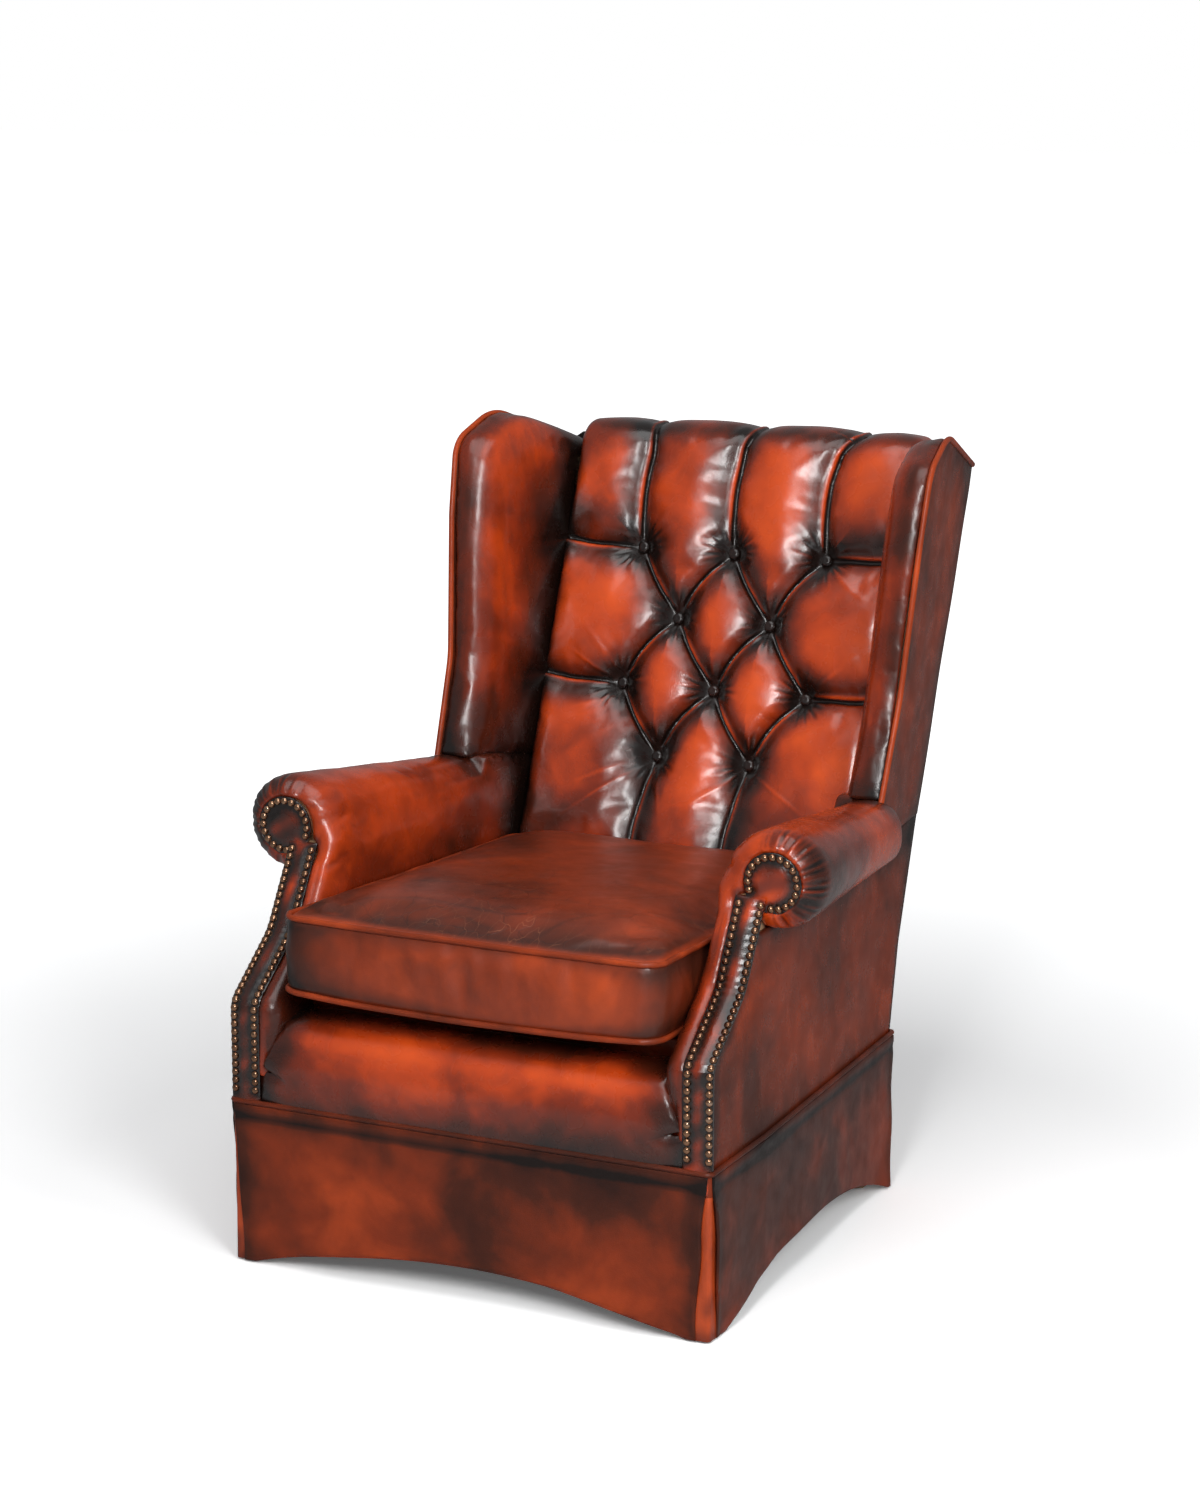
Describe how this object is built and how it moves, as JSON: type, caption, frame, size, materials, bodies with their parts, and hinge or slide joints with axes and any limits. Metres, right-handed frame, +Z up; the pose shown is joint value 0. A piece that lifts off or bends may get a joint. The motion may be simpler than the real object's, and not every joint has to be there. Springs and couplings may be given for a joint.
{
  "type": "wingback armchair",
  "caption": "Leather wing armchair with a deep-buttoned raked back, rolled arms with nailed facings, a loose boxed seat cushion and an arched skirt.",
  "frame": {"origin": "on the floor under the middle of the chair's outline", "axes": "+Z up, -Y towards the sitter's front, +X towards the arm on the right as seen from in front"},
  "size_m": [0.824, 0.95, 1.0342],
  "materials": {
    "body_leather": "glossy hand-antiqued rust leather, dark in its folds",
    "cushion_leather": "satin worn rust-brown leather",
    "outside_leather": "satin mottled dark red-brown leather",
    "skirt_leather": "satin mottled dark red-brown leather",
    "piping_leather": "satin",
    "button_leather": "glossy",
    "antique_nails": "antiqued",
    "beech": "sawn and planed",
    "webbing": "woven",
    "dust_cloth": "woven",
    "glide_plastic": "moulded"
  },
  "bodies": {
    "chair": {"arm_facing_left": "body_leather", "arm_facing_right": "body_leather", "arm_rail_left": "beech", "arm_rail_right": "beech", "arm_stump_left": "beech", "arm_stump_right": "beech", "back_buttons": "button_leather", "back_lower_rail": "beech", "back_post_left": "beech", "back_post_right": "beech", "back_top_rail": "beech", "back_webbing": "webbing", "dust_cover": "dust_cloth", "facing_nails_left": "antique_nails", "facing_nails_right": "antique_nails", "foot_glides": "glide_plastic", "front_border": "body_leather", "front_corner_block_left": "beech", "front_corner_block_right": "beech", "front_corner_pleat_left": "skirt_leather", "front_corner_pleat_right": "skirt_leather", "front_foot_left": "beech", "front_foot_right": "beech", "inside_arm_left": "body_leather", "inside_arm_right": "body_leather", "inside_back": "body_leather", "inside_wing_left": "body_leather", "inside_wing_right": "body_leather", "outside_arm_left": "outside_leather", "outside_arm_right": "outside_leather", "outside_back": "outside_leather", "outside_wing_left": "outside_leather", "outside_wing_right": "outside_leather", "rear_corner_block_left": "beech", "rear_corner_block_right": "beech", "rear_corner_pleat_left": "skirt_leather", "rear_corner_pleat_right": "skirt_leather", "rear_foot_left": "beech", "rear_foot_right": "beech", "seat_platform": "body_leather", "seat_rail_front": "beech", "seat_rail_left": "beech", "seat_rail_rear": "beech", "seat_rail_right": "beech", "seat_webbing": "webbing", "skirt_front": "skirt_leather", "skirt_left": "skirt_leather", "skirt_rear": "skirt_leather", "skirt_right": "skirt_leather", "skirt_tacking_strip": "skirt_leather", "skirt_welt": "skirt_leather", "wing_board_left": "beech", "wing_board_right": "beech", "wing_piping_left": "piping_leather", "wing_piping_right": "piping_leather"},
    "cushion": {"seat_cushion": "cushion_leather", "cushion_piping_bottom": "piping_leather", "cushion_piping_top": "piping_leather"}
  },
  "joints": [
    {"name": "cushion_lift", "type": "slide", "parent": "chair", "child": "cushion", "axis": [0, 0, 1], "range_m": [0, 0.7]}
  ]
}
